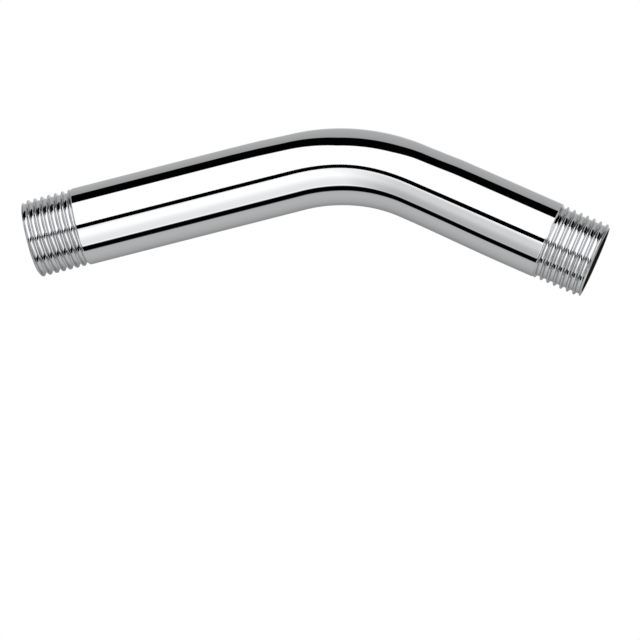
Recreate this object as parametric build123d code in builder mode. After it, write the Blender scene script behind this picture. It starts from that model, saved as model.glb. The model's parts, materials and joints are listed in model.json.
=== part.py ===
"""A 6 inch shower arm: one chromed brass tube, bent once, with a pipe thread on both ends.

The wall end of the tube is centred on the origin and the inlet leg runs along +X.
The bend lies in the XZ plane and turns the outlet leg downwards, towards the bather.
All sizes are in millimetres and degrees.
"""

import os
from math import ceil, cos, radians, sin, tan

from build123d import *

INCH = 25.4

# The tube. Each leg runs along its axis, from its end face to the corner where the two axes meet.
TUBE_DIAMETER = 20.0
WALL = 1.5
INLET_LEG = 86.2
OUTLET_LEG = 66.5
BEND_ANGLE = 38.0
BEND_RADIUS = 46.5

# The pipe thread, the same on both ends. Its crests lie a little below the tube's surface.
TURNS_PER_INCH = 14
THREAD_PITCH = INCH / TURNS_PER_INCH
THREAD_LENGTH = 12.4
THREAD_DEPTH = 0.75
THREAD_FLANK_ANGLE = 30.0
THREAD_CREST_WIDTH = 0.3
CREST_DROP = 0.05

# Finished edges: the cone that starts the thread, the shoulder behind it and the mouth of the bore.
LEAD_DEPTH = 0.4
LEAD_ANGLE = 45.0
SHOULDER_ANGLE = 45.0
SHOULDER_ROUND = 0.5
MOUTH_CHAMFER = 0.35

# The plain tube that each threaded end carries behind its shoulder.
COLLAR_LENGTH = 5.0

# How far a cutting or joining shape reaches past the surface that it works on.
OVERREACH = 0.15

tube_radius = TUBE_DIAMETER / 2
bore_radius = tube_radius - WALL
crest_radius = tube_radius - CREST_DROP
root_radius = crest_radius - THREAD_DEPTH

# One threaded end, with its end face on the XY plane and the tube going up from it along +Z.
shoulder_top = THREAD_LENGTH + (tube_radius - root_radius) / tan(radians(SHOULDER_ANGLE))
end_length = shoulder_top + COLLAR_LENGTH

# The ridge is swept turn by turn, from before the end face to well inside the shoulder.
first_turn = -1
last_turn = ceil(THREAD_LENGTH / THREAD_PITCH) + 1
with BuildLine() as helix:
    for turn in range(first_turn, last_turn):
        Helix(
            pitch=THREAD_PITCH,
            height=THREAD_PITCH,
            radius=root_radius,
            center=(0, 0, turn * THREAD_PITCH),
        )
helix_path = helix.wire()
ridge_plane = Plane(origin=helix_path @ 0, x_dir=(1, 0, 0), z_dir=helix_path % 0)
crest_half = THREAD_CREST_WIDTH / 2
foot_half = crest_half + (THREAD_DEPTH + OVERREACH) * tan(radians(THREAD_FLANK_ANGLE))

# The lead cone leaves the end face here, between the roots and the crests, and only trims the ridge.
lead_radius = crest_radius - LEAD_DEPTH
lead_reach = crest_radius + OVERREACH
lead_run = (lead_reach - lead_radius) / tan(radians(LEAD_ANGLE))

with BuildPart() as threaded_end:
    with BuildSketch(Plane.XZ) as wall:
        with BuildLine():
            Polyline(
                (bore_radius + MOUTH_CHAMFER, 0),
                (root_radius, 0),
                (root_radius, THREAD_LENGTH),
                (tube_radius, shoulder_top),
                (tube_radius, end_length),
                (bore_radius, end_length),
                (bore_radius, MOUTH_CHAMFER),
                close=True,
            )
        make_face()
        fillet(wall.vertices().group_by(Axis.X)[-1].sort_by(Axis.Y)[0], SHOULDER_ROUND)
    revolve(axis=Axis.Z)

    with BuildSketch(ridge_plane):
        with BuildLine():
            Polyline(
                (-OVERREACH, -foot_half),
                (THREAD_DEPTH, -crest_half),
                (THREAD_DEPTH, crest_half),
                (-OVERREACH, foot_half),
                close=True,
            )
        make_face()
    sweep(path=helix_path, is_frenet=True)

    with BuildSketch(Plane.XZ):
        with BuildLine():
            Polyline(
                (0, 0),
                (lead_radius, 0),
                (lead_reach, lead_run),
                (lead_reach, 2 * first_turn * THREAD_PITCH),
                (0, 2 * first_turn * THREAD_PITCH),
                close=True,
            )
        make_face()
    revolve(axis=Axis.Z, mode=Mode.SUBTRACT)

# The plain tube between the two threaded ends, and the plane of each end face with +Z into the tube.
inlet_axis = Vector(1, 0, 0)
outlet_axis = Vector(cos(radians(BEND_ANGLE)), 0, -sin(radians(BEND_ANGLE)))
corner = inlet_axis * INLET_LEG
outlet_face = corner + outlet_axis * OUTLET_LEG
inlet_plane = Plane(origin=(0, 0, 0), x_dir=(0, -1, 0), z_dir=inlet_axis)
outlet_plane = Plane(origin=outlet_face, x_dir=(0, -1, 0), z_dir=-outlet_axis)

with BuildPart() as arm:
    with BuildLine() as route:
        FilletPolyline(
            inlet_axis * end_length,
            corner,
            outlet_face - outlet_axis * end_length,
            radius=BEND_RADIUS,
        )
    with BuildSketch(inlet_plane.offset(end_length)):
        Circle(tube_radius)
        Circle(bore_radius, mode=Mode.SUBTRACT)
    sweep(path=route.line)
    with Locations(inlet_plane.location, outlet_plane.location):
        add(threaded_end.part)

arm.part.label = "shower_arm"
os.makedirs("parts", exist_ok=True)
export_step(arm.part, "parts/shower_arm.step")
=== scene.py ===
# %% [markdown]
# # A shower arm, turned, threaded and bent
#
# The real thing is one brass tube. It is cut to length, a pipe thread is put on both ends, it is bent once,
# and then it is polished and chrome plated. This lesson makes a plain blank, the two finishes, a Geometry
# Nodes tree that threads and bends the blank and puts the finishes on, and a studio for the arm to mirror.
#
# The first cell loads the packed solid model. It is the frame: one body, one solid, a box that the finished
# arm has to fill, and a record whose mounts hold the real sizes.

# %% Load the frame
import json
from math import acos, ceil, cos, pi, radians, sin, tan

import bpy
from mathutils import Matrix, Vector


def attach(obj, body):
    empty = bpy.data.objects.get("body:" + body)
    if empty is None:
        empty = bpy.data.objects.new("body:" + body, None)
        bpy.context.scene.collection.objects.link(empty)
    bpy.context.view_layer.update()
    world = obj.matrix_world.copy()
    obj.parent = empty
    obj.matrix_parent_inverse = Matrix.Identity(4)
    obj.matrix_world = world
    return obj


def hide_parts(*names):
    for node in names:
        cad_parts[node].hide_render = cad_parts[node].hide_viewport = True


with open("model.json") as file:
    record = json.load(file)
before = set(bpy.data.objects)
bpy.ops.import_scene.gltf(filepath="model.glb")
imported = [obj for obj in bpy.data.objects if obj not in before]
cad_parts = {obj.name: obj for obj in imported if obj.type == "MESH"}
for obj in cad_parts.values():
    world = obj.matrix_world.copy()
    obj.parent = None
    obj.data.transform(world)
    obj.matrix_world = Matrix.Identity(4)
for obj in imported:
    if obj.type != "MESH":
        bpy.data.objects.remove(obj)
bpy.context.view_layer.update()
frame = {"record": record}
mounts = {mount["name"]: mount for mount in frame["record"]["mounts"]}

# %% [markdown]
# ## Sizes
#
# Everything is in metres. The sizes that the record holds are read from its mounts, so this scene follows
# the solid if that changes. The corner is the point where the axes of the two legs meet, and the bend
# rounds it off. The small sizes of the thread and of the finished edges aren't in the record, so they are
# written here.

# %% Read the sizes of the tube
MM = 0.001

tube_radius = mounts["wall_flange_seat"]["dims"]["r_mm"] * MM
bore_radius = mounts["inlet_bore"]["dims"]["r_mm"] * MM
crest_radius = mounts["inlet_thread"]["dims"]["r_mm"] * MM
thread_length = mounts["inlet_thread"]["dims"]["length_mm"] * MM

outlet_face = Vector(mounts["outlet_thread"]["pos_m"])
outlet_axis = Vector(mounts["outlet_thread"]["axis"])
bend_angle = acos(outlet_axis.x)
outlet_leg = outlet_face.z / outlet_axis.z
corner = outlet_face - outlet_axis * outlet_leg

inlet_bore = mounts["inlet_bore"]
bend_start = inlet_bore["pos_m"][0] + inlet_bore["dims"]["length_mm"] * MM / 2
bend_radius = (corner.x - bend_start) / tan(bend_angle / 2)
bend_stop = bend_start + bend_radius * bend_angle
tube_length = bend_stop + outlet_leg - (corner.x - bend_start)
print(f"tube {tube_length / MM:.2f} mm long")
print(f"bend radius {bend_radius / MM:.2f} mm, from {bend_start / MM:.2f} mm on")

# %% Name the sizes of the thread and of the edges
INCH = 25.4 * MM
TURNS_PER_INCH = 14
THREAD_PITCH = INCH / TURNS_PER_INCH
THREAD_DEPTH = 0.75 * MM
CREST_WIDTH = 0.3 * MM
FLANK_ANGLE = radians(30)
CREST_ROUND = 0.08 * MM
ROOT_ROUND = 0.12 * MM
CROWN = 0.065 * MM
LEAD_DEPTH = 0.4 * MM
SHOULDER_ROUND = 0.28 * MM

# The solid has a wider chamfer here. The photo shows no bright line round the mouth, so this one is finer.
MOUTH_CHAMFER = 0.1 * MM

# Bending presses the tube a little flat, and on the inside of the bend the press comes later.
BEND_FLATTENING = 0.035
BEND_EASE = 10 * MM
INNER_LAG = 18 * MM

# The outer wall, once it is pressed flat, is a little wider than the inner one.
BEND_SWELL = 0.03

root_radius = crest_radius - THREAD_DEPTH
mouth_radius = bore_radius + MOUTH_CHAMFER
shoulder_top = thread_length + (tube_radius - root_radius)
threaded_zone = shoulder_top + SHOULDER_ROUND
print(f"roots at radius {root_radius / MM:.2f} mm, plain tube from {shoulder_top / MM:.2f} mm")

# %% [markdown]
# ## The camera
#
# The photo was taken from far away with a long lens, so both legs keep their true width. The arm is seen
# almost square on, and it lies tilted in the picture: its inlet leg climbs to the right. The camera is
# found from where the corner of the two axes falls in the picture and from the number of pixels to a
# millimetre.

# %% Set the camera
FRAME_PIXELS = 640
PIXELS_PER_MM = 3.927
CORNER_RIGHT_PIXELS = 36.4
CORNER_UP_PIXELS = 163.75
CAMERA_DISTANCE = 3.2
CLIP_DISTANCE = 16.0
INLET_CLIMB = radians(14.26)
FROM_RIGHT = 0.128
FROM_FRONT = 0.9906
FROM_ABOVE = 0.0482

to_camera = Vector((FROM_RIGHT, -FROM_FRONT, FROM_ABOVE)).normalized()
along_inlet = Vector((1, 0, 0))
level = (along_inlet - to_camera * along_inlet.dot(to_camera)).normalized()
across = to_camera.cross(level)
picture_right = level * cos(INLET_CLIMB) - across * sin(INLET_CLIMB)
picture_up = level * sin(INLET_CLIMB) + across * cos(INLET_CLIMB)

pixel = MM / PIXELS_PER_MM
target = corner - picture_right * CORNER_RIGHT_PIXELS * pixel - picture_up * CORNER_UP_PIXELS * pixel

camera = bpy.data.objects.new("photo_camera", bpy.data.cameras.new("photo_camera"))
bpy.context.collection.objects.link(camera)
turn = Matrix((picture_right, picture_up, to_camera)).transposed().to_4x4()
camera.matrix_world = Matrix.Translation(target + to_camera * CAMERA_DISTANCE) @ turn
camera.data.lens = camera.data.sensor_width * CAMERA_DISTANCE / (FRAME_PIXELS * pixel)
camera.data.clip_end = CLIP_DISTANCE
bpy.context.scene.camera = camera
print(f"lens {camera.data.lens:.0f} mm")

# %% [markdown]
# ## The blank
#
# A lathe starts from a plain length of tube. Here it is only the wall's outline, cut lengthwise and laid
# flat: a chain of points, out along the skin and back through the bore, with x along the tube and y as the
# radius. Each point becomes one ring of the finished mesh.
#
# A thread climbs as it goes round, so rings that stand square would cross it and leave steps in it. In the
# threaded zones the rings are wound with the thread instead, which z = 1 marks, and there is one more turn
# of them than the zone needs, because a wound ring starts a pitch behind the place where it ends.

# %% Lay out the blank
TURN_ROWS = 36
BEND_ROWS = 48
LEG_ROWS = 8
INLET_CREST_TURN = -0.16
OUTLET_CREST_TURN = -0.43
WOUND = 1.0
SQUARE = 0.0

inlet_crest = INLET_CREST_TURN * THREAD_PITCH
outlet_crest = tube_length + OUTLET_CREST_TURN * THREAD_PITCH


def spread(first, last, count):
    """Evenly spaced places from first to last, both included."""
    return [first + (last - first) * step / count for step in range(count + 1)]


def wound_rows(crest, low, high):
    """Rings of a threaded zone, spaced so that one of them lies on the crest of the thread."""
    gap = THREAD_PITCH / TURN_ROWS
    first = -ceil((crest - low + THREAD_PITCH) / gap)
    last = ceil((high - crest) / gap)
    return [(crest + gap * row, tube_radius, WOUND) for row in range(first, last + 1)]


plain_run = spread(threaded_zone, bend_start, LEG_ROWS)[1:-1]
plain_run += spread(bend_start, bend_stop, BEND_ROWS)
plain_run += spread(bend_stop, tube_length - threaded_zone, LEG_ROWS)[1:-1]
skin = wound_rows(inlet_crest, 0, threaded_zone)
skin += [(place, tube_radius, SQUARE) for place in plain_run]
skin += wound_rows(outlet_crest, tube_length - threaded_zone, tube_length)

bore = [(tube_length, mouth_radius, SQUARE), (tube_length - MOUTH_CHAMFER, bore_radius, SQUARE)]
bore += [(place, bore_radius, SQUARE) for place in reversed(plain_run)]
bore += [(MOUTH_CHAMFER, bore_radius, SQUARE), (0, mouth_radius, SQUARE)]

blank_mesh = bpy.data.meshes.new("wall_outline")
blank_mesh.from_pydata(skin + bore, [], [])
blank = bpy.data.objects.new("wall_outline", blank_mesh)
bpy.context.collection.objects.link(blank)
print(len(skin), "rings on the skin,", len(bore), "in the bore")

# %% [markdown]
# ## Nodes
#
# One small function adds a node to any tree. The values are for the node's inputs, in order: an output of
# another node is joined, a number or colour is set, and None leaves the input as it is.

# %% Define the function that adds a node
def add(tree, kind, *values, **settings):
    """Add a node with its settings, fill its inputs in order and return it."""
    node = tree.nodes.new(kind)
    for name, value in settings.items():
        setattr(node, name, value)
    sockets = [socket for socket in node.inputs if socket.enabled]
    for socket, value in zip(sockets, values):
        if isinstance(value, bpy.types.NodeSocket):
            tree.links.new(value, socket)
        elif value is not None:
            socket.default_value = value
    return node


print(add.__doc__)

# %% [markdown]
# ## Mirror chrome
#
# The skin is a hard, thin, faintly blue plate over polished brass. It is plated after the thread is cut, so
# the thread is chrome too, only less well polished, because no wheel reaches into its roots. Its light and
# dark bands could be painted on, but they would be right from one side only. So this is a plain metal
# shader with the real reflectivity of chrome, and the studio gives it its bands.
#
# The patterns follow the tube as it was before it was bent, which the mesh keeps as an attribute named
# straight.

# %% Turn hex colours to linear ones
def linear(hex_colour):
    """An sRGB hex value such as #C0C0C0 as linear red, green, blue and alpha."""
    parts = [int(hex_colour[start:start + 2], 16) / 255 for start in (1, 3, 5)]
    parts = [part / 12.92 if part <= 0.04045 else ((part + 0.055) / 1.055) ** 2.4 for part in parts]
    return (*parts, 1.0)


print("half grey is", [round(part, 3) for part in linear("#808080")])

# %% Plate the skin
# To the eye: sharp images of the room, black next to white, and hardly any colour of its own.
CHROME = "#CDCECF"
CHROME_SHADE = "#C9CACC"
POLISHED_ROUGHNESS = 0.02
MARKED_ROUGHNESS = 0.03
ROOT_ROUGHNESS = 0.03
CLOUD_SIZE = 14 * MM
MARK_SPACING = 0.4 * MM
MARK_LENGTH = 30 * MM
FINE_DETAIL = 2.0
MARK_START = 0.55
MARK_FULL = 0.75
ACROSS_TUBE = (0, 1, 1)

chrome = bpy.data.materials.new("mirror_chrome_plate")
chrome.use_nodes = True
tree = chrome.node_tree
shader = tree.nodes["Principled BSDF"]
shader.inputs["Metallic"].default_value = 1.0

straight = add(tree, "ShaderNodeAttribute", attribute_name="straight").outputs["Vector"]
clouds = add(tree, "ShaderNodeTexNoise", straight, None, 1 / CLOUD_SIZE, FINE_DETAIL).outputs["Fac"]
colour = add(tree, "ShaderNodeMix", clouds, linear(CHROME), linear(CHROME_SHADE), data_type="RGBA")
tree.links.new(colour.outputs["Result"], shader.inputs["Base Color"])

# The wheel ran along the tube, so its marks are long and close together. Real ones are finer than a tenth
# of a millimetre and wouldn't show, so they are drawn coarser.
stretch = add(tree, "ShaderNodeMapping", straight)
stretch.inputs["Scale"].default_value = (1 / MARK_LENGTH, 1 / MARK_SPACING, 1 / MARK_SPACING)
marks = add(tree, "ShaderNodeTexNoise", stretch.outputs[0], None, 1.0, FINE_DETAIL).outputs["Fac"]
polish = add(
    tree, "ShaderNodeMapRange", marks, MARK_START, MARK_FULL, POLISHED_ROUGHNESS, MARKED_ROUGHNESS
).outputs[0]

# The roots of the thread lie deeper than the wheel reaches.
flat = add(tree, "ShaderNodeVectorMath", straight, ACROSS_TUBE, operation="MULTIPLY").outputs[0]
radius = add(tree, "ShaderNodeVectorMath", flat, operation="LENGTH").outputs["Value"]
depth = add(tree, "ShaderNodeMapRange", radius, crest_radius, root_radius, 0.0, ROOT_ROUGHNESS).outputs[0]
rough = add(tree, "ShaderNodeMath", polish, depth, operation="MAXIMUM").outputs[0]
tree.links.new(rough, shader.inputs["Roughness"])
print("made", chrome.name)

# %% [markdown]
# ## Bare brass
#
# The bore is the metal of the tube itself, drawn through a die and never polished or plated, and water has
# dulled it. Its colour is made much darker than brass, as painted shade for the inside of the tube, where
# little light gets in. It could be left as chrome, because little of it shows, but then the mouth would
# glitter where the real one is a dark hole. Stains a few millimetres wide change both its colour and its
# roughness.

# %% Leave the bore bare
# To the eye: a dark, soft, brownish grey without any clear reflection. Most of its darkness is painted
# shade.
BRASS_WITH_PAINTED_SHADE = "#3A342B"
BRASS_STAIN = "#171512"
STAIN_SIZE = 6 * MM
STAIN_DETAIL = 4.0
STAIN_START = 0.3
STAIN_FULL = 0.7
BRASS_ROUGHNESS = 0.4
STAIN_ROUGHNESS = 0.6

brass = bpy.data.materials.new("bare_brass_with_painted_shade")
brass.use_nodes = True
tree = brass.node_tree
shader = tree.nodes["Principled BSDF"]
shader.inputs["Metallic"].default_value = 1.0

straight = add(tree, "ShaderNodeAttribute", attribute_name="straight").outputs["Vector"]
stains = add(tree, "ShaderNodeTexNoise", straight, None, 1 / STAIN_SIZE, STAIN_DETAIL).outputs["Fac"]
# The dark base colour is painted shade for the inside of the bore; the stains on it are real.
colour = add(tree, "ShaderNodeMix", stains, linear(BRASS_WITH_PAINTED_SHADE), linear(BRASS_STAIN), data_type="RGBA")
tree.links.new(colour.outputs["Result"], shader.inputs["Base Color"])
rough = add(
    tree, "ShaderNodeMapRange", stains, STAIN_START, STAIN_FULL, BRASS_ROUGHNESS, STAIN_ROUGHNESS
).outputs[0]
tree.links.new(rough, shader.inputs["Roughness"])
print("made", brass.name)

# %% [markdown]
# ## The tree that threads and bends the blank
#
# A sweep could make the tube and a screw modifier the thread, but the two would have to be joined and the
# chrome would show the seam. So one tree works out each point of one closed mesh by rule, as a machine
# would: how far along the tube it lies, how far the thread and the edges cut in there, and where the bend
# carries it.
#
# The sizes are the tree's named inputs.

# %% Start the tree
COLUMNS = 108
WELD = 0.002 * MM
SHARP_EDGE = radians(38)

tree = bpy.data.node_groups.new("thread_and_bend_tube", "GeometryNodeTree")
interface = tree.interface
interface.new_socket("Blank", in_out="INPUT", socket_type="NodeSocketGeometry")
interface.new_socket("Tube", in_out="OUTPUT", socket_type="NodeSocketGeometry")

sizes = {
    "Length": tube_length,
    "Tube radius": tube_radius,
    "Thread pitch": THREAD_PITCH,
    "Threaded zone": threaded_zone,
    "Thread length": thread_length,
    "Inlet crest": inlet_crest,
    "Outlet crest": outlet_crest,
    "Crest radius": crest_radius,
    "Root radius": root_radius,
    "Half crest": CREST_WIDTH / 2,
    "Flank slope": 1 / tan(FLANK_ANGLE),
    "Crest round": CREST_ROUND,
    "Root round": ROOT_ROUND,
    "Crown": CROWN,
    "Lead radius": crest_radius - LEAD_DEPTH,
    "Mouth radius": mouth_radius,
    "Shoulder round": SHOULDER_ROUND,
    "Bend start": bend_start,
    "Bend radius": bend_radius,
    "Bend angle": bend_angle,
    "Flattening": BEND_FLATTENING,
    "Bend ease": BEND_EASE,
    "Inner lag": INNER_LAG,
    "Swell": BEND_SWELL,
    "Weld": WELD,
    "Sharp edge": SHARP_EDGE,
}
counts = {"Columns": COLUMNS}
for name in sizes:
    interface.new_socket(name, in_out="INPUT", socket_type="NodeSocketFloat")
for name in counts:
    interface.new_socket(name, in_out="INPUT", socket_type="NodeSocketInt")
given = add(tree, "NodeGroupInput").outputs
print(len(interface.items_tree), "sockets")

# %% [markdown]
# ## Roll up the blank
#
# A tube is a sheet whose two edges meet. So the tree starts from a flat grid: one row for each point of the
# outline and one more to close it, and one column for each step round the axis and one more to close that.
# The index of a grid point tells its row and column, and the row tells which point of the outline to look
# up.

# %% Roll the blank into a grid of points
rings = add(tree, "GeometryNodeAttributeDomainSize", given["Blank"]).outputs["Point Count"]
rows = add(tree, "ShaderNodeMath", rings, 1, operation="ADD").outputs[0]
points_round = add(tree, "ShaderNodeMath", given["Columns"], 1, operation="ADD").outputs[0]
grid = add(tree, "GeometryNodeMeshGrid", 1, 1, rows, points_round).outputs["Mesh"]

index = add(tree, "GeometryNodeInputIndex").outputs[0]
row = add(tree, "ShaderNodeMath", index, points_round, operation="DIVIDE").outputs[0]
row = add(tree, "ShaderNodeMath", row, operation="FLOOR").outputs[0]
ring = add(tree, "ShaderNodeMath", row, rings, operation="MODULO").outputs[0]
column = add(tree, "ShaderNodeMath", index, points_round, operation="MODULO").outputs[0]
share = add(tree, "ShaderNodeMath", column, given["Columns"], operation="DIVIDE").outputs[0]

position = add(tree, "GeometryNodeInputPosition").outputs[0]
place = add(tree, "GeometryNodeSampleIndex", given["Blank"], position, ring, data_type="FLOAT_VECTOR")
place = add(tree, "ShaderNodeSeparateXYZ", place.outputs[0]).outputs
print(len(tree.nodes), "nodes with the grid")

# %% [markdown]
# ## The thread
#
# A die cuts a pipe thread: fourteen turns to the inch, with flanks that slope by 30 degrees and small flats
# on the crests and in the roots. A swept ridge would be a second piece. Here each point asks how far it is
# from the nearest crest of the winding line, and gets its radius from that.

# %% Wind the rings of the threaded zones
climb = add(tree, "ShaderNodeMath", share, given["Thread pitch"], operation="MULTIPLY").outputs[0]
wound = add(tree, "ShaderNodeMath", place["X"], climb, operation="ADD").outputs[0]
half_length = add(tree, "ShaderNodeMath", given["Length"], 0.5, operation="MULTIPLY").outputs[0]
at_outlet = add(tree, "ShaderNodeMath", place["X"], half_length, operation="GREATER_THAN").outputs[0]
zone_start = add(
    tree, "ShaderNodeMath", given["Length"], given["Threaded zone"], operation="SUBTRACT"
).outputs[0]
zone_start = add(tree, "ShaderNodeMath", zone_start, at_outlet, operation="MULTIPLY").outputs[0]
zone_stop = add(tree, "ShaderNodeMath", zone_start, given["Threaded zone"], operation="ADD").outputs[0]
wound = add(tree, "ShaderNodeClamp", wound, zone_start, zone_stop).outputs[0]
along = add(tree, "ShaderNodeMix", place["Z"], place["X"], wound).outputs[0]
print(len(tree.nodes), "nodes with the winding")

# %% Cut the thread
crest_line = add(tree, "ShaderNodeMix", at_outlet, given["Inlet crest"], given["Outlet crest"]).outputs[0]
crest_line = add(tree, "ShaderNodeMath", crest_line, climb, operation="ADD").outputs[0]
off_crest = add(tree, "ShaderNodeMath", along, crest_line, operation="SUBTRACT").outputs[0]
half_pitch = add(tree, "ShaderNodeMath", given["Thread pitch"], 0.5, operation="MULTIPLY").outputs[0]
off_crest = add(tree, "ShaderNodeMath", off_crest, half_pitch, operation="PINGPONG").outputs[0]
down_flank = add(tree, "ShaderNodeMath", given["Half crest"], off_crest, operation="SUBTRACT").outputs[0]
crest_level = add(
    tree, "ShaderNodeMath", given["Crest radius"], given["Crown"], operation="SUBTRACT"
).outputs[0]
root_level = add(tree, "ShaderNodeMath", given["Root radius"], given["Crown"], operation="ADD").outputs[0]
flank = add(
    tree, "ShaderNodeMath", down_flank, given["Flank slope"], crest_level, operation="MULTIPLY_ADD"
).outputs[0]
crest = add(
    tree, "ShaderNodeMath", flank, crest_level, given["Crest round"], operation="SMOOTH_MIN"
).outputs[0]
thread = add(
    tree, "ShaderNodeMath", crest, root_level, given["Root round"], operation="SMOOTH_MAX"
).outputs[0]
print(len(tree.nodes), "nodes with the thread")

# %% Crown the crests and the roots
# A slow wave over the flats: they shine along a line only if they are a little round.
wave = add(tree, "ShaderNodeMath", off_crest, half_pitch, operation="DIVIDE").outputs[0]
wave = add(tree, "ShaderNodeMath", wave, pi, operation="MULTIPLY").outputs[0]
wave = add(tree, "ShaderNodeMath", wave, operation="COSINE").outputs[0]
thread = add(tree, "ShaderNodeMath", wave, given["Crown"], thread, operation="MULTIPLY_ADD").outputs[0]
print(len(tree.nodes), "nodes with the crowns")

# %% Cut the lead cone and the shoulder
from_middle = add(tree, "ShaderNodeMath", along, half_length, operation="SUBTRACT").outputs[0]
from_middle = add(tree, "ShaderNodeMath", from_middle, operation="ABSOLUTE").outputs[0]
from_end = add(tree, "ShaderNodeMath", half_length, from_middle, operation="SUBTRACT").outputs[0]
lead = add(tree, "ShaderNodeMath", given["Lead radius"], from_end, operation="ADD").outputs[0]
past_thread = add(tree, "ShaderNodeMath", from_end, given["Thread length"], operation="SUBTRACT").outputs[0]
past_thread = add(tree, "ShaderNodeMath", past_thread, 0.0, operation="MAXIMUM").outputs[0]
shoulder = add(tree, "ShaderNodeMath", given["Root radius"], past_thread, operation="ADD").outputs[0]
shoulder = add(
    tree, "ShaderNodeMath", shoulder, given["Tube radius"], given["Shoulder round"], operation="SMOOTH_MIN"
).outputs[0]

cut = add(tree, "ShaderNodeMath", thread, shoulder, operation="MAXIMUM").outputs[0]
cut = add(tree, "ShaderNodeMath", cut, lead, operation="MINIMUM").outputs[0]
radius = add(tree, "ShaderNodeMath", cut, place["Y"], operation="MINIMUM").outputs[0]
print(len(tree.nodes), "nodes with the edges")

# %% [markdown]
# ## The bend
#
# The tube is bent cold round a former, which leaves it a little flatter in the bend than in the legs, and
# wider on the outside than on the inside. A curve modifier could bend it, but would know nothing of that.
# So the points are first turned round the straight axis, then pressed towards it and spread in the bend,
# and then swung round the centre of the bend.

# %% Turn the points round the axis
turned = add(tree, "ShaderNodeMath", share, 2 * pi, operation="MULTIPLY").outputs[0]
upwards = add(tree, "ShaderNodeMath", turned, operation="COSINE").outputs[0]
upwards = add(tree, "ShaderNodeMath", upwards, radius, operation="MULTIPLY").outputs[0]
sideways = add(tree, "ShaderNodeMath", turned, operation="SINE").outputs[0]
sideways = add(tree, "ShaderNodeMath", sideways, radius, operation="MULTIPLY").outputs[0]
sideways = add(tree, "ShaderNodeMath", sideways, -1.0, operation="MULTIPLY").outputs[0]
unbent = add(tree, "ShaderNodeCombineXYZ", along, sideways, upwards).outputs[0]
print(len(tree.nodes), "nodes with the straight tube")

# %% Press the tube flatter in the bend
bend_length = add(
    tree, "ShaderNodeMath", given["Bend radius"], given["Bend angle"], operation="MULTIPLY"
).outputs[0]
half_bend = add(tree, "ShaderNodeMath", bend_length, 0.5, operation="MULTIPLY").outputs[0]
reach = add(tree, "ShaderNodeMath", half_bend, given["Bend ease"], operation="ADD").outputs[0]
into_bend = add(tree, "ShaderNodeMath", along, given["Bend start"], operation="SUBTRACT").outputs[0]
off_middle = add(tree, "ShaderNodeMath", into_bend, half_bend, operation="SUBTRACT").outputs[0]
inner = add(tree, "ShaderNodeMath", upwards, 0.0, operation="LESS_THAN").outputs[0]
lag = add(tree, "ShaderNodeMath", inner, given["Inner lag"], operation="MULTIPLY").outputs[0]
lagged = add(tree, "ShaderNodeMath", off_middle, lag, operation="SUBTRACT").outputs[0]
lagged = add(tree, "ShaderNodeMath", lagged, operation="ABSOLUTE").outputs[0]
full = add(tree, "ShaderNodeMix", inner, half_bend, 0.0).outputs[0]
pressed = add(
    tree, "ShaderNodeMapRange", lagged, full, reach, given["Flattening"], 0.0,
    interpolation_type="SMOOTHSTEP",
).outputs[0]
shrunk = add(tree, "ShaderNodeMath", 1.0, pressed, operation="SUBTRACT").outputs[0]
upwards = add(tree, "ShaderNodeMath", upwards, shrunk, operation="MULTIPLY").outputs[0]
print(len(tree.nodes), "nodes with the press")

# %% Spread the outer wall sideways
off_middle = add(tree, "ShaderNodeMath", off_middle, operation="ABSOLUTE").outputs[0]
swell = add(
    tree, "ShaderNodeMapRange", off_middle, 0.0, half_bend, given["Swell"], 0.0,
    interpolation_type="SMOOTHSTEP",
).outputs[0]
high = add(tree, "ShaderNodeMath", upwards, given["Tube radius"], operation="DIVIDE").outputs[0]
swell = add(tree, "ShaderNodeMath", swell, high, 1.0, operation="MULTIPLY_ADD").outputs[0]
sideways = add(tree, "ShaderNodeMath", sideways, swell, operation="MULTIPLY").outputs[0]
print(len(tree.nodes), "nodes with the swell")

# %% Bend the tube
swing = add(tree, "ShaderNodeMath", into_bend, given["Bend radius"], operation="DIVIDE").outputs[0]
swing = add(tree, "ShaderNodeClamp", swing, 0.0, given["Bend angle"]).outputs[0]
swept = add(tree, "ShaderNodeMath", swing, given["Bend radius"], operation="MULTIPLY").outputs[0]
beyond = add(tree, "ShaderNodeMath", into_bend, swept, operation="SUBTRACT").outputs[0]
height = add(tree, "ShaderNodeMath", given["Bend radius"], upwards, operation="ADD").outputs[0]
spoke = add(tree, "ShaderNodeCombineXYZ", beyond, sideways, height).outputs[0]
spoke = add(tree, "ShaderNodeVectorRotate", spoke, None, swing, rotation_type="Y_AXIS").outputs[0]
below = add(tree, "ShaderNodeMath", given["Bend radius"], -1.0, operation="MULTIPLY").outputs[0]
pivot = add(tree, "ShaderNodeCombineXYZ", given["Bend start"], 0.0, below).outputs[0]
bent = add(tree, "ShaderNodeVectorMath", pivot, spoke, operation="ADD").outputs[0]
print(len(tree.nodes), "nodes with the bend")

# %% [markdown]
# ## One closed skin
#
# The grid's points move to their places, and where its edges meet they are welded, so that the chrome shows
# no seam. Edges that turn sharply, as round the end faces, stay crisp and all others are shaded smooth. The
# bore is told from the skin by its radius before the bend.

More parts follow.
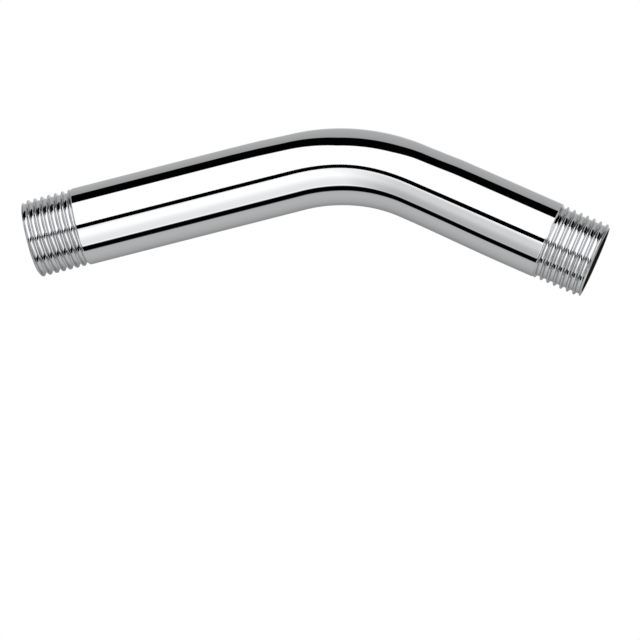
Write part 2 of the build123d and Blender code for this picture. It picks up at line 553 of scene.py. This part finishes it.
# %% Close the mesh
mesh = add(
    tree, "GeometryNodeStoreNamedAttribute", grid, True, "straight", unbent, data_type="FLOAT_VECTOR"
).outputs[0]
mesh = add(tree, "GeometryNodeSetPosition", mesh, True, bent).outputs[0]
mesh = add(tree, "GeometryNodeMergeByDistance", mesh, True, given["Weld"]).outputs[0]
mesh = add(tree, "GeometryNodeFlipFaces", mesh).outputs[0]
bend_of_edge = add(tree, "GeometryNodeInputMeshEdgeAngle").outputs["Unsigned Angle"]
sharp = add(tree, "ShaderNodeMath", bend_of_edge, given["Sharp edge"], operation="GREATER_THAN").outputs[0]
mesh = add(tree, "GeometryNodeSetShadeSmooth", mesh, True, True).outputs[0]
mesh = add(tree, "GeometryNodeSetShadeSmooth", mesh, sharp, False, domain="EDGE").outputs[0]
print(len(tree.nodes), "nodes with the closed mesh")

# %% Give both metals and hand the mesh on
mesh = add(tree, "GeometryNodeRealizeInstances", mesh).outputs[0]
mesh = add(tree, "GeometryNodeSetMaterial", mesh, True, chrome).outputs[0]
inside = add(tree, "GeometryNodeInputNamedAttribute", "straight", data_type="FLOAT_VECTOR")
inside = add(tree, "ShaderNodeVectorMath", inside.outputs["Attribute"], ACROSS_TUBE, operation="MULTIPLY")
inside = add(tree, "ShaderNodeVectorMath", inside.outputs[0], operation="LENGTH").outputs["Value"]
inside = add(tree, "ShaderNodeMath", inside, given["Mouth radius"], operation="LESS_THAN").outputs[0]
mesh = add(tree, "GeometryNodeSetMaterial", mesh, inside, brass).outputs[0]
add(tree, "NodeGroupOutput", mesh)
print(len(tree.nodes), "nodes")

# %% [markdown]
# ## The finished arm
#
# The modifier's inputs are set by their identifiers before anything is evaluated. The evaluated result
# becomes a plain mesh, and the blank and its modifier go. The volume is a good test: it is positive only if
# the mesh is closed and all its faces point outwards, and it should be close to that of the solid.

# %% Evaluate the tree
import bmesh

modifier = blank.modifiers.new("thread_and_bend", "NODES")
modifier.node_group = tree
values = sizes | counts
for item in interface.items_tree:
    if item.in_out == "INPUT" and item.name in values:
        modifier[item.identifier] = values[item.name]

graph = bpy.context.evaluated_depsgraph_get()
arm_mesh = bpy.data.meshes.new_from_object(blank.evaluated_get(graph), depsgraph=graph)
arm_mesh.name = "chromed_arm"
arm_mesh.materials.pop(index=0)
bpy.data.objects.remove(blank)
arm = bpy.data.objects.new("chromed_arm", arm_mesh)
bpy.context.collection.objects.link(arm)

tally = bmesh.new()
tally.from_mesh(arm_mesh)
open_edges = sum(1 for edge in tally.edges if len(edge.link_faces) != 2)
volume = tally.calc_volume(signed=True) / MM ** 3
triangles = sum(len(face.verts) - 2 for face in tally.faces)
tally.free()
print(f"{triangles} triangles, {open_edges} open edges, {volume:.0f} cubic mm")
print("materials", list(arm_mesh.materials))

# %% Put the arm in the frame
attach(arm, "root")
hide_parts("shower_arm")
print(arm.name, "rides on the root and replaces the solid")

# %% [markdown]
# ## The studio
#
# Chrome has almost no colour of its own: it looks like what stands round it. A product photographer
# surrounds it with white panels and leaves dark gaps between them, and the gaps draw the black lines that
# show its form. Panels could be planes that glow, but then each edge has to be found by moving a plane
# about. Here the world draws them, so each edge is one number.
#
# A mirrored ray has three shares: to the side, up, and towards the camera. The panels lie in bands round
# the picture's level axis, so each band is given by its angle from the camera, up and over the arm or down
# and under it. Only mirrored rays see the panels. The camera and all matt surfaces see even white of
# strength 1. The world's light sampling is off, because it asks for light without saying that the ray is a
# mirrored one.
#
# Chrome gives back about six tenths of the light. For its image of a panel to come out white, the panels
# are brighter than paper, and the gaps between them are darker. Taken over all directions, they give about
# two thirds of the light of an even white world, so the arm gets no more light than paper would.

# %% Find where a mirrored ray goes
world = bpy.data.worlds.new("white_panels")
world.use_nodes = True
world.cycles.sampling_method = "NONE"
bpy.context.scene.world = world
tree = world.node_tree
tree.nodes.clear()

ray = add(tree, "ShaderNodeTexCoord").outputs["Generated"]
side = add(tree, "ShaderNodeVectorMath", ray, picture_right, operation="DOT_PRODUCT").outputs["Value"]
over = add(tree, "ShaderNodeVectorMath", ray, picture_up, operation="DOT_PRODUCT").outputs["Value"]
front = add(tree, "ShaderNodeVectorMath", ray, to_camera, operation="DOT_PRODUCT").outputs["Value"]
angle = add(tree, "ShaderNodeMath", over, front, operation="ARCTAN2").outputs[0]
print("the picture's up is", [round(part, 3) for part in picture_up])

# %% Hang the panels
# Each edge is an angle in degrees from the camera, up over the arm if positive, with the colour at that
# edge.
PANELS = [
    (-180, "#767676"), (-150, "#868686"), (-132, "#9C9C9C"), (-118, "#A6A6A6"), (-100, "#AFAFAF"),
    (-81, "#ADADAD"), (-79.6, "#020202"), (-63.6, "#020202"), (-62.2, "#FFFFFF"), (-58, "#E2E2E2"),
    (-45, "#E6E6E6"), (-36, "#F4F4F4"), (-30, "#FFFFFF"), (70.5, "#FFFFFF"), (71.5, "#020202"),
    (104, "#020202"), (105, "#9B9B9B"), (132, "#A2A2A2"), (158, "#A0A0A0"), (168, "#B4B4B4"),
    (177, "#B4B4B4"), (180, "#767676"),
]
print(len(PANELS), "edges of panels and gaps")

# %% Let the upper panel sag
# It reaches furthest over the arm on the left, and its edge sags in the middle. A leg of the arm lies at
# one slope in the picture, and all that it mirrors lies on one cone, so the slope of that cone tells left
# from right.
LEAN = radians(7)
SAG = radians(4)
CONE_TURN = 0.12
LEAN_FROM = -0.265
LEAN_TO = 0.0
SAG_FROM = 0.34
SAG_TO = 0.47

turned_away = add(tree, "ShaderNodeMath", front, CONE_TURN, CONE_TURN, operation="MULTIPLY_ADD").outputs[0]
slope = add(tree, "ShaderNodeMath", side, turned_away, operation="ADD").outputs[0]
slope = add(tree, "ShaderNodeMath", slope, over, operation="DIVIDE").outputs[0]
lean = add(tree, "ShaderNodeMapRange", slope, LEAN_FROM, LEAN_TO, LEAN, -SAG).outputs[0]
rise = add(tree, "ShaderNodeMapRange", slope, SAG_FROM, SAG_TO, 0.0, SAG).outputs[0]
lean = add(tree, "ShaderNodeMath", lean, rise, operation="ADD").outputs[0]
above = add(tree, "ShaderNodeMath", over, 0.0, operation="GREATER_THAN").outputs[0]
lean = add(tree, "ShaderNodeMath", lean, above, operation="MULTIPLY").outputs[0]
angle = add(tree, "ShaderNodeMath", angle, lean, operation="SUBTRACT").outputs[0]
print(len(tree.nodes), "nodes with the sag")

# %% Colour the panels
HALF_TURN = 180

share = add(tree, "ShaderNodeMapRange", angle, -pi, pi, 0.0, 1.0).outputs[0]
bands = add(tree, "ShaderNodeValToRGB", share)
stops = bands.color_ramp.elements
while len(stops) < len(PANELS):
    stops.new(1.0)
for stop, (degrees, hex_colour) in zip(stops, PANELS):
    stop.position = (degrees + HALF_TURN) / (2 * HALF_TURN)
for stop, (degrees, hex_colour) in zip(stops, PANELS):
    stop.color = linear(hex_colour)
print(len(tree.nodes), "nodes with the panels")

# %% [markdown]
# ## Where the panels end
#
# The panels aren't endless. The one in front, below the lens, is narrow and its light fades towards both
# ends, which gives the outlet leg its soft grey underside. The slit that the lens looks through is the thin
# line along the arm. Past the ends of all the bands comes the dark room, which is lighter above and below,
# and past that a grey wall on each side. The plain tube hardly sees these, but the flanks of the thread do,
# and they turn into fine dark lines. Soft light from behind keeps the arm bright when it is seen from the
# other side.

# %% Fade the lower panel towards its ends
SLIT_UP = -0.055
FRONT_EDGE = 0.15
FAR_LEFT = -0.47
LEFT = -0.36
FAR_LEFT_LIGHT = 0.8
RIGHT = 0.03
FAR_RIGHT = 0.2
FAR_RIGHT_LIGHT = 0.35

# A soft shade comes in from the left. It starts along one upright line and is drawn out longer further
# down.
SHADE_START = -0.205
SHADE_TOP = -0.265
TOP_END = -0.26
SHADE_BOTTOM = -0.6
BOTTOM_END = -0.367
SHADE_LIGHT = 0.62

fade = add(tree, "ShaderNodeMapRange", side, FAR_LEFT, LEFT, FAR_LEFT_LIGHT, 1.0).outputs[0]
shade_end = add(tree, "ShaderNodeMapRange", over, SHADE_TOP, SHADE_BOTTOM, TOP_END, BOTTOM_END).outputs[0]
shade = add(tree, "ShaderNodeMapRange", side, shade_end, SHADE_START, SHADE_LIGHT, 1.0).outputs[0]
fade = add(tree, "ShaderNodeMath", fade, shade, operation="MULTIPLY").outputs[0]
right = add(tree, "ShaderNodeMapRange", side, RIGHT, FAR_RIGHT, 1.0, FAR_RIGHT_LIGHT).outputs[0]
fade = add(tree, "ShaderNodeMath", fade, right, operation="MULTIPLY").outputs[0]
upper = add(tree, "ShaderNodeMath", over, SLIT_UP, operation="GREATER_THAN").outputs[0]
rear = add(tree, "ShaderNodeMath", front, FRONT_EDGE, operation="LESS_THAN").outputs[0]
elsewhere = add(tree, "ShaderNodeMath", upper, rear, operation="MAXIMUM").outputs[0]
light = add(tree, "ShaderNodeMath", fade, elsewhere, operation="MAXIMUM").outputs[0]
print(len(tree.nodes), "nodes with the lower panel")

# %% Cut the slit for the lens
SLIT_HEIGHT = 0.195
SLIT_SIDE = -0.215
SLIT_WIDTH = 0.67

in_height = add(tree, "ShaderNodeMath", over, SLIT_UP, SLIT_HEIGHT / 2, operation="COMPARE").outputs[0]
in_width = add(tree, "ShaderNodeMath", side, SLIT_SIDE, SLIT_WIDTH / 2, operation="COMPARE").outputs[0]
slit = add(tree, "ShaderNodeMath", in_height, in_width, operation="MULTIPLY").outputs[0]
before = add(tree, "ShaderNodeMath", front, 0.0, operation="GREATER_THAN").outputs[0]
slit = add(tree, "ShaderNodeMath", slit, before, operation="MULTIPLY").outputs[0]
solid = add(tree, "ShaderNodeMath", 1.0, slit, operation="SUBTRACT").outputs[0]
light = add(tree, "ShaderNodeMath", light, solid, operation="MULTIPLY").outputs[0]
lit = add(tree, "ShaderNodeVectorMath", bands.outputs[0], operation="SCALE")
tree.links.new(light, lit.inputs["Scale"])
print(len(tree.nodes), "nodes with the slit")

# %% Close the room at the sides
PANEL_END = 0.5
ROOM_START = 0.6
ROOM_END = 0.8
WALL_START = 0.9
ROOM_LIGHT = 0.12
WALL_LIGHT = 0.35
CEILING_START = 0.4
CEILING_END = 0.9
CEILING_LIGHT = 0.7

aside = add(tree, "ShaderNodeMath", side, operation="ABSOLUTE").outputs[0]
past_panels = add(tree, "ShaderNodeMapRange", aside, PANEL_END, ROOM_START, 0.0, 1.0).outputs[0]
tall = add(tree, "ShaderNodeMath", over, operation="ABSOLUTE").outputs[0]
dark = add(
    tree, "ShaderNodeMapRange", tall, CEILING_START, CEILING_END, ROOM_LIGHT, CEILING_LIGHT
).outputs[0]
room = add(tree, "ShaderNodeMapRange", aside, ROOM_END, WALL_START, dark, WALL_LIGHT).outputs[0]
studio = add(tree, "ShaderNodeMix", past_panels, lit.outputs[0], room, data_type="RGBA").outputs["Result"]
print(len(tree.nodes), "nodes with the room")

# %% Light the studio
PANEL_STRENGTH = 1.68

mirrored = add(tree, "ShaderNodeBackground", studio, PANEL_STRENGTH).outputs[0]
even = add(tree, "ShaderNodeBackground", linear("#FFFFFF"), 1.0).outputs[0]
is_mirrored = add(tree, "ShaderNodeLightPath").outputs["Is Glossy Ray"]
seen = add(tree, "ShaderNodeMixShader", is_mirrored, even, mirrored).outputs[0]
add(tree, "ShaderNodeOutputWorld", seen)
print(len(tree.nodes), "nodes in the studio")

# %% [markdown]
# ## The floor
#
# A sheet of matt white paper lies well below the arm, so that the picture shows no shadow, as in the photo,
# while a view from above still has something under the arm. It is diffuse only, and under even white light
# it comes out as white as the world behind it. The mirror sees the panels in its place.

# %% Lay the floor
FLOOR_DROP = 0.2
FLOOR_SIZE = 6.0

paper = bpy.data.materials.new("matt_white_paper")
paper.use_nodes = True
tree = paper.node_tree
tree.nodes.clear()
matt = add(tree, "ShaderNodeBsdfDiffuse", linear("#FFFFFF")).outputs[0]
add(tree, "ShaderNodeOutputMaterial", matt)

edge = FLOOR_SIZE / 2
floor_mesh = bpy.data.meshes.new("paper_floor")
floor_mesh.from_pydata(
    [(x * edge, y * edge, -FLOOR_DROP) for x, y in ((-1, -1), (1, -1), (1, 1), (-1, 1))], [], [(0, 1, 2, 3)]
)
floor_mesh.materials.append(paper)
floor = bpy.data.objects.new("paper_floor", floor_mesh)
bpy.context.collection.objects.link(floor)
floor.visible_glossy = False
print(floor.name, f"lies {FLOOR_DROP / MM:.0f} mm below the inlet")

# Colours come out as they are written.
bpy.context.scene.view_settings.view_transform = "Standard"

# %% [markdown]
